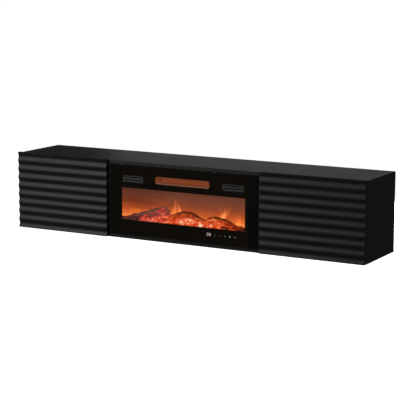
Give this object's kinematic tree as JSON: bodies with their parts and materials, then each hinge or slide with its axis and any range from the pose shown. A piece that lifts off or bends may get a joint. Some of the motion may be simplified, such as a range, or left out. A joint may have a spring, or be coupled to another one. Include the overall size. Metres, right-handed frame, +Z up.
{
  "type": "electric fireplace console",
  "caption": "Long wall-hung black console with an electric fireplace insert in the middle and a fluted drop-down door at each side.",
  "frame": {"origin": "middle of the footprint, at the height of the cabinet's underside", "axes": "+X along the cabinet to the right as seen from the front, +Y towards the wall, +Z up"},
  "size_m": [2.03, 0.3832, 0.4135],
  "materials": {
    "carcass": "black satin lacquer on MDF",
    "door": "black satin lacquer on fluted MDF",
    "black_plastic": "moulded",
    "bumper": "clear soft dots",
    "steel": "zinc plated",
    "frame_trim": "matte black powder coat",
    "glass": "clear tempered",
    "print": "black ceramic print",
    "grille": "satin black",
    "outlet": "dark, lit orange from behind",
    "casing": "black enamelled sheet",
    "screen": "translucent, lit by flames",
    "embers": "translucent moulding lit from below",
    "logs": "charred bark",
    "mirror": "mirror film",
    "motor": "plain",
    "fan": "plain",
    "ceramic": "plain",
    "circuit": "circuit board",
    "display": "lit digits",
    "pads": "dark"
  },
  "bodies": {
    "cabinet": {"angle_brackets": "steel", "assembly_screws": "steel", "back_panels": "carcass", "blower_bearing": "black_plastic", "blower_housing": "casing", "blower_motor": "motor", "board_hinge_leaves": "steel", "bottom_board": "carcass", "cable_grommets": "black_plastic", "casing_back": "casing", "casing_bottom": "casing", "casing_sides": "casing", "casing_top": "casing", "control_board": "circuit", "display_module": "display", "dividers": "carcass", "door_bumpers": "bumper", "ember_bed": "embers", "end_panel_left": "carcass", "end_panel_right": "carcass", "firebox_floor": "casing", "flame_screen": "screen", "front_frame": "frame_trim", "front_glass": "glass", "glass_mask": "print", "heater_element": "ceramic", "heater_tray": "casing", "hinge_pins": "steel", "insert_screws": "steel", "led_strips": "circuit", "log_left": "logs", "log_middle": "logs", "log_right": "logs", "magnet_catches": "black_plastic", "outlet_grille": "outlet", "power_inlet": "black_plastic", "rear_rail_lower": "carcass", "rear_rail_upper": "carcass", "shelf_pins": "steel", "shelves": "carcass", "spindle_bearing": "black_plastic", "spindle_motor": "motor", "stay_plates": "steel", "switch_housing": "black_plastic", "top_board": "carcass", "touch_pads": "pads", "vent_grilles": "grille"},
    "door_left": {"door_left": "door", "door_hinge_leaf_left": "steel", "strike_plate_left": "steel", "stay_bracket_left": "steel"},
    "stay_arm_left": {"stay_arm_left": "steel"},
    "door_right": {"door_right": "door", "door_hinge_leaf_right": "steel", "strike_plate_right": "steel", "stay_bracket_right": "steel"},
    "stay_arm_right": {"stay_arm_right": "steel"},
    "fan_wheel": {"fan_wheel": "fan"},
    "flame_spindle": {"flame_spindle": "mirror"},
    "power_rocker": {"power_rocker": "black_plastic"}
  },
  "joints": [
    {"name": "door_left_hinge", "type": "hinge", "parent": "cabinet", "child": "door_left", "pos_m": [-0.73175, -0.1731, 0.0025], "axis": [1, 0, 0], "range_deg": [0, 90]},
    {"name": "door_right_hinge", "type": "hinge", "parent": "cabinet", "child": "door_right", "pos_m": [0.73175, -0.1731, 0.0025], "axis": [1, 0, 0], "range_deg": [0, 90]},
    {"name": "stay_left_pivot", "type": "hinge", "parent": "door_left", "child": "stay_arm_left", "pos_m": [-0.9925, -0.1456, 0.0825], "axis": [1, 0, 0], "range_deg": [-90, 0]},
    {"name": "stay_right_pivot", "type": "hinge", "parent": "door_right", "child": "stay_arm_right", "pos_m": [0.9925, -0.1456, 0.0825], "axis": [1, 0, 0], "range_deg": [-90, 0]},
    {"name": "fan_spin", "type": "hinge", "parent": "cabinet", "child": "fan_wheel", "pos_m": [0, -0.0806, 0.338], "axis": [1, 0, 0], "continuous": true},
    {"name": "flame_spindle_spin", "type": "hinge", "parent": "cabinet", "child": "flame_spindle", "pos_m": [0, -0.0496, 0.084], "axis": [1, 0, 0], "continuous": true},
    {"name": "rocker_tilt", "type": "hinge", "parent": "cabinet", "child": "power_rocker", "pos_m": [0.29, -0.0241, 0.055], "axis": [0, 0, -1], "range_deg": [0, 16]}
  ],
  "couplings": [
    {"joint": "stay_left_pivot", "follows": "door_left_hinge", "ratio": -1},
    {"joint": "stay_right_pivot", "follows": "door_right_hinge", "ratio": -1}
  ]
}
